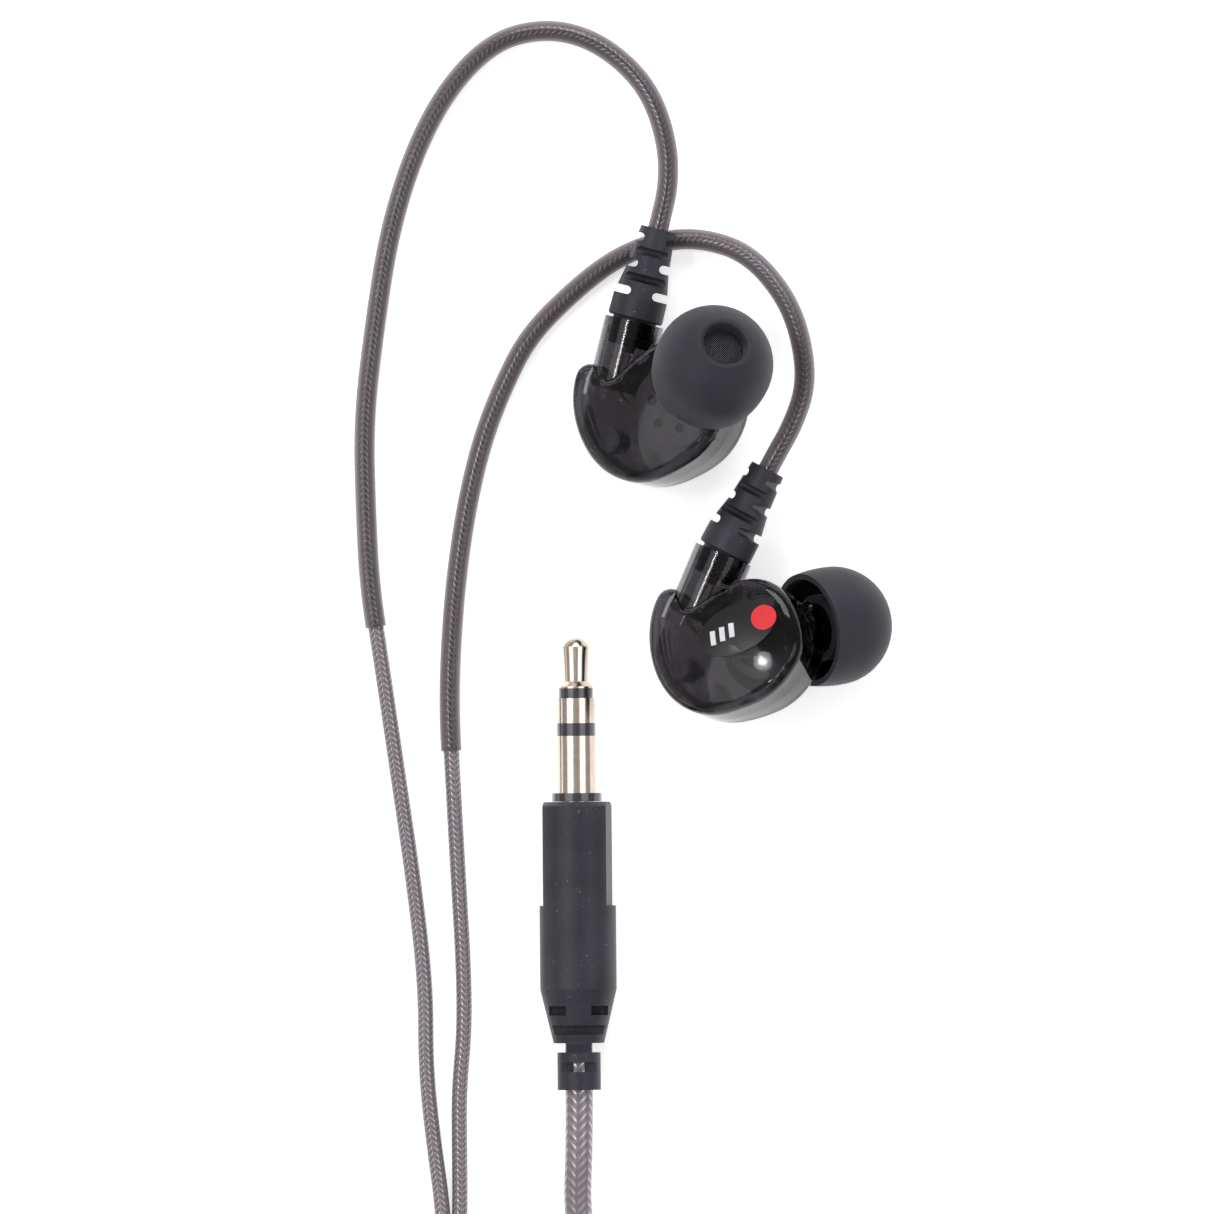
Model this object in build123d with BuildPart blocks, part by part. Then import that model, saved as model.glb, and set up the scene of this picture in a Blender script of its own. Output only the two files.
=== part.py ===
"""A pair of wired in-ear monitors with over-ear cables and a 3.5 mm stereo plug, laid out flat.

Millimetres, +Z up. The origin lies on the resting surface, below the middle of the two earpieces.
Each earpiece is drawn once, as the right one in a frame of its own: x across the housing, y up along
its neck, z outwards from the head. The left one is its mirror image. Both are then laid down.
"""

import os
from math import cos, pi, radians, sin, tan

from build123d import *

os.makedirs("parts", exist_ok=True)

# ---------------------------------------------------------------- driving dimensions
# How each earpiece lies: its place, its turn on the surface, and how far its relief bends.
right_at, right_turn, right_bend, right_roll = (-3.08, -11.97, 5.78), 22.9, 5.0, 0.0
left_at, left_turn, left_bend, left_roll = (-10.31, 8.61, 3.35), 13.7, 0.8, 22.0
lean = 22.0

# Housing: two shells that meet on z = 0
housing_outline = [
    (1.05, 0.0), (1.9, 1.0), (3.1, 2.6), (4.8, 4.2), (7.0, 4.8), (9.3, 4.1), (11.3, 2.4), (12.4, 0.4),
    (12.4, -1.8), (11.4, -4.5), (9.2, -6.8), (6.8, -8.3), (4.4, -8.7), (1.6, -8.0), (-0.9, -6.0),
    (-2.6, -3.2), (-3.1, -1.1), (-2.9, 0.2), (-2.1, 0.8), (-0.9, 0.75), (0.2, 0.2),
]
crown_centre = (7.0, -1.8)
shell_depth = 4.3
crown_radius = 20.0
shell_edge = 1.2
wall = 0.9
lip_height, lip_width, fit_gap = 0.6, 0.4, 0.03
post_places = [(2.2, -5.4), (5.4, -6.4)]
post_radius, pin_radius = 1.1, 0.6

# Nozzle and ear tip, along one slanting axis that starts at the middle of the tip's dome
tip_centre = (11.25, 3.35, -5.0)
nozzle_way = (0.44, 0.44, -0.78)
nozzle_radius, nozzle_bore, nozzle_end = 2.3, 1.8, 3.2
nozzle_root = [(3.2, -4.8), (3.1, -4.0), (2.75, -3.0), (2.3, -2.6)]
screen_radius, screen_thickness = 2.0, 0.12
tip_radius, tip_skin = 5.35, 0.5
rim_at, rim_radius = -2.9, 5.1
core_radius, core_rear = 3.0, -1.8
mouth_at, mouth_radius, mouth_round = 4.9, 1.95, 0.4

# Neck tube, strain relief and branch cable
neck_x, neck_radius, neck_wall = 0.75, 2.7, 0.4
neck_bottom, neck_top = -1.0, 5.45
relief_length = 8.6
relief_outside = [(2.35, 0.2), (2.5, 0.35), (2.47, 2.2), (1.93, 4.9), (1.65, 8.0), (1.58, relief_length)]
relief_plug = [(1.95, -2.3), (1.95, -1.6), (2.15, -1.5), (2.15, -0.9), (2.0, -0.8), (2.0, 0.2)]
slot_height, slot_web = 0.75, 1.0
side_slots, front_slots = (2.6, 5.15, 7.55), (3.9, 6.35)
branch_radius, branch_bore = 0.705, 0.73
sleeve_radius, sleeve_bore, sleeve_seat = 0.93, 0.74, 1.2
cable_start = -2.9

# Dynamic driver, its front towards the head
driver_at = (7.6, -1.1)
driver_radius, driver_front = 3.75, -2.7
coil_radius, coil_wall, coil_height = 1.95, 0.15, 0.9
film = 0.06
magnet_radius, magnet_height = 1.65, 1.0

# Badge on the crowned face
badge_at, badge_turn = (6.4, -0.3), 44.0
badge_half_length, badge_half_width, badge_thickness = 3.75, 2.25, 0.12
marker_reach, marker_radius, marker_thickness = 2.75, 1.15, 0.1
bar_count, bar_pitch, bar_size = 3, 0.95, (0.5, 1.3)

# Plug, drawn along its own -z from the tip
plug_at, plug_turn = (-13.66, -14.69, 3.45), 0.5
contact_radius, neck_insulator_radius = 1.75, 1.55
plug_tip_outline = [(0.6, -0.1), (1.0, -0.42), (1.27, -0.85), (1.19, -1.8), (1.1, -4.0), (1.555, -4.45)]
tip_back, ring_span, sleeve_span = 4.6, (5.5, 7.75), (8.9, 14.05)
rod_radius, rod_skin, tube_radius, tube_skin = 0.45, 0.7, 0.95, 1.25
collar_radius, collar_end = 2.25, 14.8
grip_radius, grip_end, grip_flat, flat_turn, flat_end = 3.45, 40.8, 2.89, 8.0, 24.2
grip_outside = [
    (3.0, 14.85), (3.45, 15.2), (3.45, 31.7), (2.3, 36.5), (2.3, 36.6), (1.95, 37.45), (1.95, 40.8),
]
plug_slot, plug_web, pocket_width, pocket_floor = 0.85, 1.15, 1.5, 0.9
plug_side_slots, plug_front_slots = (33.65, 37.0), (35.4, 38.75)
main_radius, main_bore = 1.23, 1.26

# Chin slider and splitter on the two branches
slider_size, slider_at, slider_edge = (5.2, 6.0, 3.4), (-27.66, -98.09, 1.7), 1.2
branch_spacing = 2.0
splitter_length, splitter_top, splitter_tail_radius = 11.0, (-27.66, -106.09, 1.7), 1.7

# Coils that put the rest of the cords away, on their ties: centre, innermost and outermost turn
coil_lift, turn_gap = 0.4, 0.01
branch_coil_at, branch_coil_turns, branch_layers = (-33.46, -85.09), (6.3, 9.2), 2
main_coil_at, main_coil_turns, main_layers = (-5.96, -118.09), (10.85, 16.7), 4
tie_width, tie_thickness = 3.0, 0.35

# Cords: the points of each stretch that isn't coiled
left_lead = [
    (-9.067, 10.932, 3.616), (-5.974, 22.94, 3.681), (-5.26, 26.11, 3.55), (-5.36, 29.71, 3.0),
    (-6.66, 33.91, 2.3), (-8.96, 36.91, 1.7), (-12.36, 39.31, 1.3), (-16.36, 40.21, 1.0),
    (-20.96, 39.11, 0.95), (-25.06, 35.01, 0.95), (-28.16, 29.21, 0.95), (-30.46, 21.81, 0.95),
    (-31.76, 13.41, 0.95), (-32.76, 4.91, 0.95), (-32.56, -3.29, 0.95),
    (-32.21, -10.19, 0.95), (-31.11, -17.19, 0.95), (-29.66, -27.09, 0.71), (-28.26, -36.59, 0.71),
    (-27.16, -45.99, 0.71), (-27.16, -53.29, 0.71), (-26.56, -59.39, 0.71), (-25.56, -66.49, 0.75),
    (-25.46, -71.59, 1.7), (-24.96, -76.09, 3.5), (-24.36, -80.59, 4.0), (-24.26, -85.09, 3.95),
]
right_lead = [
    (-1.659, -9.79, 5.966), (4.071, 1.199, 6.371), (5.84, 4.21, 6.3), (7.14, 7.91, 5.9), (6.74, 12.11, 5.1),
    (5.24, 16.11, 4.1), (1.94, 19.91, 2.5), (-2.26, 21.31, 1.15), (-6.26, 21.01, 0.97), (-10.16, 19.41, 0.95),
    (-13.76, 16.61, 0.95), (-17.86, 12.51, 0.95), (-20.16, 8.01, 0.95), (-22.06, 3.11, 0.95),
    (-23.46, -2.79, 0.95), (-24.36, -8.89, 0.95), (-24.86, -14.89, 0.95), (-25.06, -21.09, 0.95),
    (-24.66, -28.49, 0.95),
    (-24.21, -36.59, 0.71), (-23.76, -44.09, 0.71), (-23.66, -50.09, 0.71), (-24.16, -55.59, 0.71),
    (-24.11, -60.89, 0.71), (-24.06, -66.29, 0.71), (-24.26, -72.59, 0.8), (-24.16, -79.09, 1.1),
    (-24.26, -85.09, 1.1),
]
left_tail = [
    (-24.26, -85.09, 5.4), (-24.26, -88.39, 4.6), (-25.56, -90.99, 2.9), (-26.66, -93.79, 1.7),
    (-26.66, -108.59, 1.7),
]
right_tail = [
    (-24.26, -85.09, 2.5), (-24.76, -87.69, 2.4), (-27.46, -90.29, 1.9), (-28.66, -93.59, 1.7),
    (-28.66, -108.59, 1.7),
]
main_lead = [(-27.66, -112.09, 1.7), (-27.66, -119.29, 1.7), (-24.46, -123.29, 1.65), (-17.76, -129.89, 1.65)]
main_tail = [
    (10.74, -118.09, 9.0), (10.84, -111.09, 8.3), (9.54, -103.59, 5.9), (5.54, -96.39, 3.3),
    (0.04, -90.29, 1.8), (-5.36, -84.29, 1.3), (-9.86, -77.69, 1.25), (-12.66, -71.69, 1.4),
    (-13.56, -66.09, 2.1),
    (-13.26, -60.09, 3.45), (-13.346, -50.69, 3.45),
]
sleeve_ends = {"left": (-31.66, -13.69, 0.95), "right": (-24.86, -24.79, 0.95)}
sleeve_starts = {"left": (-6.486, 20.954, 3.67), "right": (3.124, -0.618, 6.305)}


# ---------------------------------------------------------------- helpers
def save(name, shape):
    """Writes a finished piece under its own name."""
    shape.label = name
    export_step(shape, f"parts/{name}.step")


def corner_radii(points):
    """For each corner, 0.45 of the shorter run beside it over the tangent of half its turn."""
    radii = []
    for before, here, after in zip(points, points[1:], points[2:]):
        run_in, run_out = Vector(*here) - Vector(*before), Vector(*after) - Vector(*here)
        half_turn = radians(run_in.get_angle(run_out)) / 2
        radii.append(0.45 * min(run_in.length, run_out.length) / tan(half_turn))
    return radii


def tube(points, radius, bore=0.0, radii=None):
    """A round tube of straight runs and tangent arcs through a cord's points."""
    with BuildPart() as cord:
        with BuildLine() as path:
            FilletPolyline(*points, radius=radii or corner_radii(points))
        with BuildSketch(Plane(origin=path.line @ 0, z_dir=path.line % 0)):
            Circle(radius)
            if bore:
                Circle(bore, mode=Mode.SUBTRACT)
        sweep()
    length = sum(edge.length for edge in path.edges())
    share = cord.part.volume / (pi * (radius**2 - bore**2) * length)
    print(f"  tube {length:.1f} long, smallest radius {min(radii or corner_radii(points)):.1f},",
          f"volume {share:.3f} of section times length")
    return cord.part


def turned(outline, bore=0.0):
    """A solid turned about Z from (radius, height) points, with an optional bore right through."""
    heights = [height for _, height in outline]
    with BuildPart() as piece:
        with BuildSketch(Plane.XZ):
            with BuildLine():
                Polyline((bore, heights[0]), *outline, (bore, heights[-1]), close=True)
            make_face()
        revolve(axis=Axis.Z)
    return piece.part


def ring(outer, inner, low, high):
    """A flat ring or disc about Z, between two heights."""
    with BuildPart() as piece:
        with BuildSketch(Plane.XY.offset(low)):
            Circle(outer)
            if inner:
                Circle(inner, mode=Mode.SUBTRACT)
        extrude(amount=high - low)
    return piece.part


# ---------------------------------------------------------------- one earpiece, drawn as the right one
nozzle_plane = Plane(origin=tip_centre, z_dir=nozzle_way)
driver_plane = Plane(origin=(*driver_at, 0))
relief_plane = Plane(origin=(neck_x, neck_top, 0), x_dir=(1, 0, 0), z_dir=(0, 1, 0))
neck_plane = Plane(origin=(neck_x, 0, 0), x_dir=(1, 0, 0), z_dir=(0, 1, 0))


def placed(shape, plane):
    """A shape moved from its own frame to a plane's."""
    with BuildPart() as there:
        with Locations(plane.location):
            add(shape)
    return there.part


def shell_form():
    """The outside of a half housing: its outline raised to a crowned face with a rounded edge."""
    with BuildPart() as form:
        with BuildSketch():
            with BuildLine():
                Spline(*housing_outline, periodic=True)
            make_face()
        extrude(amount=shell_depth)
        with Locations((*crown_centre, shell_depth - crown_radius)):
            Sphere(crown_radius, mode=Mode.INTERSECT)
        fillet(form.faces().sort_by(Axis.Z)[-1].edges(), shell_edge)
    return form.part


def drawn_in(inset):
    """The outline's points, each moved inwards along its own normal."""
    moved = []
    for index, here in enumerate(housing_outline):
        before, after = housing_outline[index - 1], housing_outline[(index + 1) % len(housing_outline)]
        along = Vector(after[0] - before[0], after[1] - before[1]).normalized()
        moved.append((here[0] + inset * along.Y, here[1] - inset * along.X))
    return moved


def shell_hollow(inset, depth, low=0.0):
    """The outline drawn in by an inset, from one height to another."""
    with BuildPart() as hollow:
        with BuildSketch(Plane.XY.offset(low)):
            with BuildLine():
                Spline(*drawn_in(inset), periodic=True)
            make_face()
        extrude(amount=depth - low)
    return hollow.part


def crowned_hollow():
    """The room inside a half housing, a wall thinner all round and under its crown."""
    with BuildPart() as hollow:
        add(shell_hollow(wall, shell_depth - wall))
        with Locations((*crown_centre, shell_depth - crown_radius)):
            Sphere(crown_radius - wall, mode=Mode.INTERSECT)
    return hollow.part


def posts(low):
    """The two round posts of a half housing, from a height up into the middle of its crown."""
    with BuildPart() as pair:
        with BuildSketch(Plane.XY.offset(low)):
            with Locations(*post_places):
                Circle(post_radius)
        extrude(amount=shell_depth)
        with Locations((*crown_centre, shell_depth - crown_radius)):
            Sphere(crown_radius - wall / 2, mode=Mode.INTERSECT)
    return pair.part


neck_cut = placed(ring(neck_radius + fit_gap, 0, neck_bottom - wall, neck_top), neck_plane)
form = shell_form()
hollow = crowned_hollow()


def outer_shell():
    """The shell away from the head: crowned, hollow, with two pins that locate it on the inner shell."""
    with BuildPart() as shell:
        add(form)
        add(hollow, mode=Mode.SUBTRACT)
        add(posts(0.0))
        with BuildSketch(Plane.XY.offset(-1.5)):
            with Locations(*post_places):
                Circle(pin_radius)
        extrude(amount=1.6)
        add(neck_cut, mode=Mode.SUBTRACT)
    return shell.part


def locating_lip():
    """The low wall inside the parting line, left out around the neck."""
    clear = ring(neck_radius + wall + lip_width, 0, neck_bottom - 2 * wall, neck_top)
    with BuildPart() as rim:
        add(shell_hollow(wall / 2, 0.0, low=-wall))
        add(shell_hollow(wall + fit_gap, lip_height, low=-wall))
        add(shell_hollow(wall + lip_width, lip_height, low=-wall), mode=Mode.SUBTRACT)
        add(placed(clear, neck_plane), mode=Mode.SUBTRACT)
    return rim.part


def inner_shell():
    """The shell towards the head: its floor rises into the nozzle, and a lip enters the outer shell."""
    with BuildPart() as shell:
        add(mirror(form, about=Plane.XY, mode=Mode.PRIVATE))
        add(placed(turned(nozzle_root), nozzle_plane))
        add(placed(ring(nozzle_radius, 0, nozzle_root[-1][1], nozzle_end), nozzle_plane))
        add(mirror(hollow, about=Plane.XY, mode=Mode.PRIVATE), mode=Mode.SUBTRACT)
        with Locations((*crown_centre, shell_depth / 2)):
            Box(30, 30, shell_depth, mode=Mode.SUBTRACT)
        add(locating_lip())
        with BuildSketch(Plane.XY):
            with Locations(*post_places):
                Circle(post_radius + fit_gap)
        extrude(amount=lip_height, mode=Mode.SUBTRACT)
        add(mirror(posts(fit_gap), about=Plane.XY, mode=Mode.PRIVATE))
        with BuildSketch(Plane.XY.offset(-1.6)):
            with Locations(*post_places):
                Circle(pin_radius + fit_gap)
        extrude(amount=2.5, mode=Mode.SUBTRACT)
        add(placed(ring(nozzle_bore, 0, -5.2, nozzle_end), nozzle_plane), mode=Mode.SUBTRACT)
        seat = ring(screen_radius + fit_gap, 0, nozzle_end - screen_thickness, nozzle_end)
        add(placed(seat, nozzle_plane), mode=Mode.SUBTRACT)
        add(neck_cut, mode=Mode.SUBTRACT)
    return shell.part


def nozzle_screen():
    """The fine mesh disc in the mouth of the nozzle."""
    return placed(ring(screen_radius, 0, nozzle_end - screen_thickness, nozzle_end), nozzle_plane)


def ear_tip():
    """The silicone tip: a core tube that grips the nozzle, and a skirt that folds back over it."""
    skin = tip_radius - tip_skin
    rim_inner = rim_radius - tip_skin
    with BuildPart() as tip:
        with BuildSketch(Plane.XZ) as outline:
            with BuildLine():
                outside = ThreePointArc((mouth_radius, mouth_at), (0.82 * tip_radius, 0.57 * tip_radius),
                                        (tip_radius, 0.1))
                back = ThreePointArc(outside @ 1, (tip_radius - 0.05, -1.5), (rim_radius, rim_at))
                rim = Line(back @ 1, (rim_inner, rim_at))
                inside = ThreePointArc(rim @ 1, (skin - 0.05, -1.5), (skin, 0.0))
                roof = ThreePointArc(inside @ 1, (0.86 * skin, 0.5 * skin), (core_radius, 3.3))
                bore_radius, bore_end = nozzle_radius + fit_gap, nozzle_end + fit_gap
                Polyline(roof @ 1, (core_radius, core_rear), (bore_radius, core_rear), (bore_radius, bore_end),
                         (mouth_radius, bore_end), (mouth_radius, mouth_at))
            make_face()
            fillet(outline.vertices().sort_by(Axis.Y)[-1], mouth_round)
        revolve(axis=Axis.Z)
    return placed(tip.part, nozzle_plane)


def neck_tube():
    """The clear tube that the two shells clamp, for the cable to come out of."""
    return placed(ring(neck_radius, neck_radius - neck_wall, neck_bottom, neck_top), neck_plane)


def strain_relief():
    """The rubber boot on the cable: a plug for the neck, a plain band, then ribs and slots by turns."""
    with BuildPart() as relief:
        add(turned(relief_outside))
        add(turned(relief_plug))
        for heights, across in ((side_slots, 0), (front_slots, 90)):
            with Locations(*[Location((0, 0, height), (0, 0, across)) for height in heights]):
                round_at = slot_web + slot_height / 2
                with Locations((-round_at, 0), (round_at, 0)):
                    Cylinder(slot_height / 2, 6, rotation=(90, 0, 0), mode=Mode.SUBTRACT)
                with Locations((-round_at - 2, 0), (round_at + 2, 0)):
                    Box(4, 6, slot_height, mode=Mode.SUBTRACT)
        Cylinder(branch_bore, 40, mode=Mode.SUBTRACT)
        with Locations((0, 0, relief_length - sleeve_seat)):
            Cylinder(sleeve_radius + fit_gap, 5, align=(Align.CENTER, Align.CENTER, Align.MIN),
                     mode=Mode.SUBTRACT)
    return relief.part


# The driver's pieces, from its cover at the front to its terminal board at the back
cover_back = driver_front + 0.35
basket_front = cover_back
diaphragm_at = basket_front + 0.55
coil_front = diaphragm_at + 0.1
gap_floor = coil_front + coil_height + 0.3
basket_back = gap_floor + 0.5


def driver_pieces():
    """Every piece of one dynamic driver, turned about the driver's axis."""
    cover = turned([(driver_radius, driver_front), (driver_radius, cover_back)], bore=0.0)
    with BuildPart() as front_cover:
        add(cover)
        with BuildSketch(Plane.XY.offset(cover_back)):
            Circle(driver_radius - 0.35)
        extrude(amount=-0.2, mode=Mode.SUBTRACT)
        with BuildSketch(Plane.XY.offset(driver_front)):
            Circle(0.45)
            with PolarLocations(2.1, 6):
                Circle(0.45)
        extrude(amount=0.35, mode=Mode.SUBTRACT)
    with BuildPart() as basket:
        add(ring(driver_radius, driver_radius - 0.3, basket_front, diaphragm_at))
        add(ring(driver_radius, 2.75, diaphragm_at + 0.3, diaphragm_at + 0.7))
        add(ring(driver_radius, driver_radius - 0.3, diaphragm_at, diaphragm_at + 0.7))
        add(ring(3.1, 2.75, diaphragm_at + 0.3, basket_back - 0.3))
        with BuildSketch(Plane.XY.offset(diaphragm_at)):
            with PolarLocations(3.25, 4, start_angle=45):
                Circle(0.28)
        extrude(amount=1.0, mode=Mode.SUBTRACT)
    front = [(0.8, -0.33), (1.5, -0.22), (2.1, 0.0), (2.7, -0.25), (3.3, 0.0)]
    back = [(radius, height + film) for radius, height in reversed(front)]
    skin = [(radius, diaphragm_at + height) for radius, height in front + back]
    yoke_inner = coil_radius + coil_wall + 0.2
    with BuildPart() as yoke:
        add(ring(2.7, yoke_inner, coil_front + 0.25, basket_back))
        add(ring(2.7, 0, gap_floor, basket_back))
    return {
        "driver_front_cover": front_cover.part,
        "driver_basket": basket.part,
        "diaphragm": turned(skin),
        "voice_coil": ring(coil_radius + coil_wall / 2, coil_radius - coil_wall / 2, diaphragm_at + film,
                           coil_front + coil_height),
        "top_plate": ring(magnet_radius, 0, coil_front + 0.25, gap_floor - magnet_height * 0.7),
        "magnet": ring(magnet_radius, 0, gap_floor - magnet_height * 0.7, gap_floor),
        "yoke": yoke.part,
    }


def terminal_board():
    """The small board on the driver's back, with its two solder pads."""
    with BuildPart() as board:
        with BuildSketch(Plane.XY.offset(basket_back)):
            RectangleRounded(2.4, 3.6, 0.4)
        extrude(amount=0.4)
        with BuildSketch(Plane.XY.offset(basket_back + 0.4)):
            with Locations((0, 1.1), (0, -1.1)):
                Circle(0.45)
        extrude(amount=0.2)
    return board.part


def lead_wires():
    """Two enamelled wires from the end of the cable to the pads of the terminal board."""
    pad_height = basket_back + 0.85
    start = Vector(neck_x, neck_top + cable_start, 0)
    wires = []
    for side, pad in ((-1, driver_at[1] - 1.1), (1, driver_at[1] + 1.1)):
        wires.append(tube([
            (start.X + 0.3 * side, start.Y - 0.15, 0.0), (start.X + 0.5 * side, start.Y - 2.4, 0.3),
            (start.X + 1.1 + 0.7 * side, start.Y - 4.4, 1.5),
            (driver_at[0] - 1.8, pad - 0.3, pad_height + 0.2), (driver_at[0] - 0.1, pad, pad_height),
        ], 0.12))
    return wires


def crowned_plate(outline_sketch, low, high):
    """A thin plate with the housing's crown, cut from between two heights above it."""
    with BuildPart() as plate:
        add(outline_sketch)
        extrude(amount=shell_depth + 1)
        with Locations((*crown_centre, shell_depth - crown_radius)):
            Sphere(crown_radius + high, mode=Mode.INTERSECT)
            Sphere(crown_radius + low, mode=Mode.SUBTRACT)
    return plate.part


def badge_pieces():
    """The oval badge, the round side marker at one end of it, and a plain three-bar device."""
    turn = radians(badge_turn)
    marker_at = (badge_at[0] + marker_reach * cos(turn), badge_at[1] + marker_reach * sin(turn))
    badge_low = fit_gap / 2
    raised = badge_low + badge_thickness + fit_gap / 2
    with BuildSketch() as oval:
        with Locations(Location((*badge_at, 0), (0, 0, badge_turn))):
            Ellipse(badge_half_length, badge_half_width)
    with BuildSketch() as disc:
        with Locations(marker_at):
            Circle(marker_radius)
    with BuildSketch() as bars:
        with Locations(Location((*badge_at, 0), (0, 0, badge_turn))):
            with Locations(*[(-2.3 + bar_pitch * index, 0) for index in range(bar_count)]):
                Rectangle(*bar_size, rotation=-12)
    return {
        "badge": crowned_plate(oval.sketch, badge_low, badge_low + badge_thickness),
        "side_marker": crowned_plate(disc.sketch, raised, raised + marker_thickness),
        "badge_bars": crowned_plate(bars.sketch, raised, raised + marker_thickness),
    }


# ---------------------------------------------------------------- both earpieces, laid down
driver = {name: placed(shape, driver_plane) for name, shape in driver_pieces().items()}
pieces = {
    "outer_shell": outer_shell(),
    "inner_shell": inner_shell(),
    "nozzle_screen": nozzle_screen(),
    "ear_tip": ear_tip(),
    "neck_tube": neck_tube(),
    **driver,
    "terminal_board": placed(terminal_board(), driver_plane),
    **badge_pieces(),
}
relief = strain_relief()
wires = lead_wires()

for side, at, turn, bend, roll in (
    ("right", right_at, right_turn, right_bend, right_roll),
    ("left", left_at, left_turn, left_bend, left_roll),
):
    laid = Location(at, (0, 0, -turn)) * Location((0, 0, 0), (0, -lean, 0))
    for name, shape in pieces.items():
        own = shape if side == "right" else mirror(shape, about=Plane.XY)
        save(f"{side}_{name}", placed(own, Plane(laid)))
    seat = laid * relief_plane.location
    bent = seat * Location((0, 0, 0), (0, bend, 0)) * Location((0, 0, 0), (0, 0, roll))
    save(f"{side}_strain_relief", placed(relief, Plane(bent)))
    with BuildPart() as pair:
        with Locations(laid):
            for wire in wires:
                add(wire if side == "right" else mirror(wire, about=Plane.XY, mode=Mode.PRIVATE))
    save(f"{side}_lead_wires", pair.part)


# ---------------------------------------------------------------- cords
def coil_form(at, turns, radius, layers, low):
    """The outside of a neat coil: a thick ring that its turns fill."""
    height = layers * (2 * radius + turn_gap)
    return placed(ring(turns[1] + radius, turns[0] - radius, 0, height), Plane(origin=(*at, low)))


leads = {"left": left_lead, "right": right_lead}
tails = {"left": left_tail, "right": right_tail}
layer_height = 2 * branch_radius + turn_gap
coil_base = {"right": coil_lift, "left": coil_lift + branch_layers * layer_height + turn_gap}
for side in ("left", "right"):
    lead = leads[side]
    save(f"{side}_cable", tube(lead, branch_radius))
    save(f"{side}_cable_tail", tube(tails[side], branch_radius))
    save(f"{side}_cable_coil", coil_form(branch_coil_at, branch_coil_turns, branch_radius, branch_layers,
                                         coil_base[side]))
    last = next(index for index, point in enumerate(lead) if index > 10 and point[1] < sleeve_ends[side][1])
    covered = [sleeve_starts[side], *lead[1:last], sleeve_ends[side]]
    save(f"{side}_ear_sleeve", tube(covered, sleeve_radius, sleeve_bore, corner_radii(lead)[: last - 1]))
save("main_cable", tube(main_lead, main_radius))
save("main_cable_tail", tube(main_tail, main_radius))
save("main_cable_coil", coil_form(main_coil_at, main_coil_turns, main_radius, main_layers, coil_lift))


def tie(at, turns, radius, height, angle):
    """A thin strap round the bundle of a coil's turns."""
    room = radius + 0.3
    reach = (turns[1] - turns[0]) / 2 + room
    middle = (turns[0] + turns[1]) / 2
    with BuildPart() as strap:
        with Locations(Location((*at, 0), (0, 0, angle))):
            with Locations((middle, 0, height / 2)):
                Box(2 * (reach + tie_thickness), tie_width, height)
                Box(2 * reach, tie_width, height - 2 * tie_thickness, mode=Mode.SUBTRACT)
    return strap.part


branch_top = coil_base["left"] + branch_layers * layer_height
main_top = coil_lift + main_layers * (2 * main_radius + turn_gap)
with BuildPart() as ties:
    add(tie(branch_coil_at, branch_coil_turns, branch_radius, branch_top + 0.05 + tie_thickness, 180))
    add(tie(main_coil_at, main_coil_turns, main_radius, main_top + 0.05 + tie_thickness, -70))
save("cable_ties", ties.part)

with BuildPart() as slider:
    with Locations(slider_at):
        Box(*slider_size)
    fillet(slider.edges().filter_by(Axis.Y), slider_edge)
    fillet(slider.faces().filter_by(Axis.Y).edges(), 0.4)
    with BuildSketch(Plane(origin=slider_at, x_dir=(1, 0, 0), z_dir=(0, 1, 0))):
        with GridLocations(branch_spacing, 1, 2, 1):
            Circle(branch_radius + fit_gap)
    extrude(amount=slider_size[1], both=True, mode=Mode.SUBTRACT)
save("chin_slider", slider.part)

splitter_plane = Plane(origin=splitter_top, x_dir=(1, 0, 0), z_dir=(0, -1, 0))
with BuildPart() as splitter:
    with BuildSketch():
        SlotOverall(5.6, 3.3)
    with BuildSketch(Plane.XY.offset(splitter_length * 0.55)):
        SlotOverall(4.6, 3.3)
    with BuildSketch(Plane.XY.offset(splitter_length)):
        Circle(splitter_tail_radius)
    loft(ruled=False)
    with BuildSketch():
        with GridLocations(branch_spacing, 1, 2, 1):
            Circle(branch_bore)
    extrude(amount=2.55, mode=Mode.SUBTRACT)
    with BuildSketch(Plane.XY.offset(splitter_length)):
        Circle(main_bore)
    extrude(amount=-5.05, mode=Mode.SUBTRACT)
save("y_splitter", placed(splitter.part, splitter_plane))


# ---------------------------------------------------------------- plug
def down(outline):
    """A turned outline given by distances from the tip, turned into heights below it."""
    return [(radius, -distance) for radius, distance in outline]


def plug_ring_at(outer, inner, start, end):
    """A ring of the plug between two distances from its tip."""
    return ring(outer, inner, -end, -start)


tip_rod_end, ring_tube_end, sleeve_tail_end = 19.0, 17.0, 16.0
with BuildPart() as plug_tip:
    with BuildSketch(Plane.XZ):
        with BuildLine():
            Line((0, 0), (0.2, 0))
            nose = Spline((0.2, 0), *plug_tip_outline[:3])
            waist = Spline(nose @ 1, *plug_tip_outline[3:5])
            shoulder = plug_tip_outline[5]
            Polyline(waist @ 1, shoulder, (shoulder[0], -tip_back), (0, -tip_back), (0, 0))
        make_face()
    revolve(axis=Axis.Z)
    add(plug_ring_at(rod_radius, 0, tip_back, tip_rod_end))

with BuildPart() as plug_ring:
    add(plug_ring_at(contact_radius, rod_skin, *ring_span))
    add(plug_ring_at(tube_radius, rod_skin, ring_span[1], ring_tube_end))

with BuildPart() as plug_sleeve:
    add(plug_ring_at(contact_radius, tube_skin, *sleeve_span))
    add(plug_ring_at(contact_radius - 0.2, tube_skin, sleeve_span[1], sleeve_tail_end))

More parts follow.
